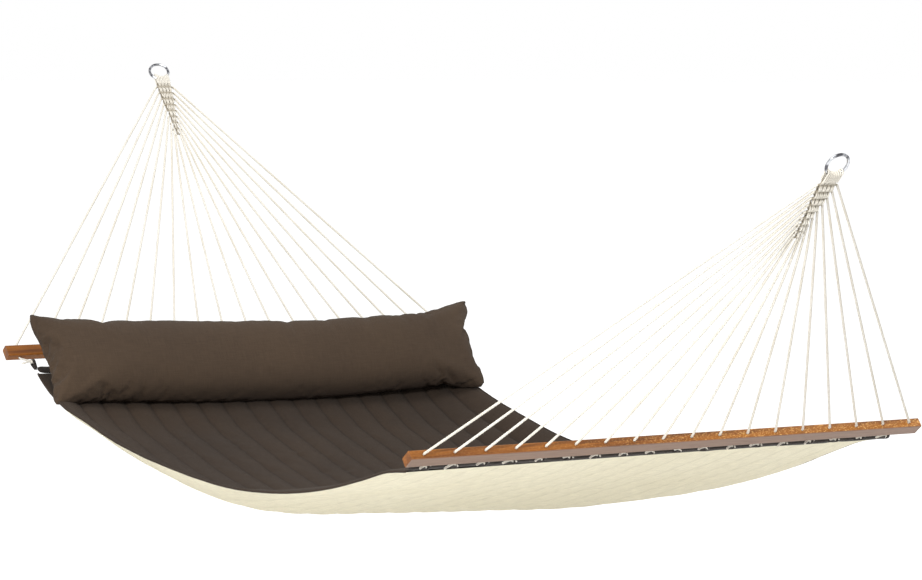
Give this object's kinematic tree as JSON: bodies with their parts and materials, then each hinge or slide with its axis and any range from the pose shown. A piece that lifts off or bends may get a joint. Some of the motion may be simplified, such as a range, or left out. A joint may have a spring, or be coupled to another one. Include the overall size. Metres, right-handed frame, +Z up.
{
  "type": "spreader bar hammock",
  "caption": "Quilted double hammock on wooden spreader bars, hung by rope clews from a steel ring at each end, with a long pillow.",
  "frame": {"origin": "the point inside the head ring that hangs on a hook", "axes": "+Z up, +Y from the foot end to the head end, +X along the bars"},
  "size_m": [1.376, 3.0589, 1.0089],
  "materials": {
    "ring_steel": "polished",
    "rope": "twisted rope",
    "bar_wood": "oiled hardwood",
    "hem_webbing": "woven webbing",
    "top_cloth": "matt woven cloth",
    "bottom_cloth": "matt woven cloth",
    "padding": "fibre wadding"
  },
  "bodies": {
    "bed": {"bed_top_cover": "top_cloth", "bed_padding": "padding", "bed_bottom_cover": "bottom_cloth", "head_hem_band": "hem_webbing", "head_hem_loops": "hem_webbing", "foot_hem_band": "hem_webbing", "foot_hem_loops": "hem_webbing"},
    "head_bar": {"head_bar": "bar_wood", "head_lacing": "rope", "head_knots": "rope"},
    "head_clew": {"head_weave": "rope", "head_cord_01": "rope", "head_cord_02": "rope", "head_cord_03": "rope", "head_cord_04": "rope", "head_cord_05": "rope", "head_cord_06": "rope", "head_cord_07": "rope", "head_cord_08": "rope", "head_cord_09": "rope", "head_cord_10": "rope", "head_cord_11": "rope", "head_cord_12": "rope", "head_cord_13": "rope", "head_cord_14": "rope", "head_cord_15": "rope", "head_cord_16": "rope", "head_cord_17": "rope", "head_cord_18": "rope"},
    "head_ring": {"head_ring": "ring_steel", "head_ring_wrap": "rope"},
    "foot_bar": {"foot_bar": "bar_wood", "foot_lacing": "rope", "foot_knots": "rope"},
    "foot_clew": {"foot_weave": "rope", "foot_cord_01": "rope", "foot_cord_02": "rope", "foot_cord_03": "rope", "foot_cord_04": "rope", "foot_cord_05": "rope", "foot_cord_06": "rope", "foot_cord_07": "rope", "foot_cord_08": "rope", "foot_cord_09": "rope", "foot_cord_10": "rope", "foot_cord_11": "rope", "foot_cord_12": "rope", "foot_cord_13": "rope", "foot_cord_14": "rope", "foot_cord_15": "rope", "foot_cord_16": "rope", "foot_cord_17": "rope", "foot_cord_18": "rope"},
    "foot_ring": {"foot_ring": "ring_steel", "foot_ring_wrap": "rope"},
    "pillow": {"pillow_cover": "top_cloth", "pillow_filling": "padding"}
  },
  "joints": [
    {"name": "head_bar_roll", "type": "hinge", "parent": "bed", "child": "head_bar", "pos_m": [0, -0.53957, -0.7408], "axis": [1, 0, 0], "range_deg": [-35, 15]},
    {"name": "head_clew_fold", "type": "hinge", "parent": "head_bar", "child": "head_clew", "pos_m": [0, -0.50411, -0.70408], "axis": [1, 0, 0], "range_deg": [-75, 40]},
    {"name": "head_ring_tilt", "type": "hinge", "parent": "head_clew", "child": "head_ring", "pos_m": [0, -0.03375, -0.03483], "axis": [1, 0, 0], "range_deg": [-60, 60]},
    {"name": "foot_bar_roll", "type": "hinge", "parent": "bed", "child": "foot_bar", "pos_m": [0, -2.47345, -0.73712], "axis": [-1, 0, 0], "range_deg": [-35, 15]},
    {"name": "foot_clew_fold", "type": "hinge", "parent": "foot_bar", "child": "foot_clew", "pos_m": [0, -2.51256, -0.70431], "axis": [-1, 0, 0], "range_deg": [-75, 40]},
    {"name": "foot_ring_tilt", "type": "hinge", "parent": "foot_clew", "child": "foot_ring", "pos_m": [0, -3.02102, -0.09187], "axis": [-1, 0, 0], "range_deg": [-60, 60]},
    {"name": "pillow_lift", "type": "slide", "parent": "bed", "child": "pillow", "axis": [0, -0.5, 0.866], "range_m": [0, 0.15]}
  ]
}
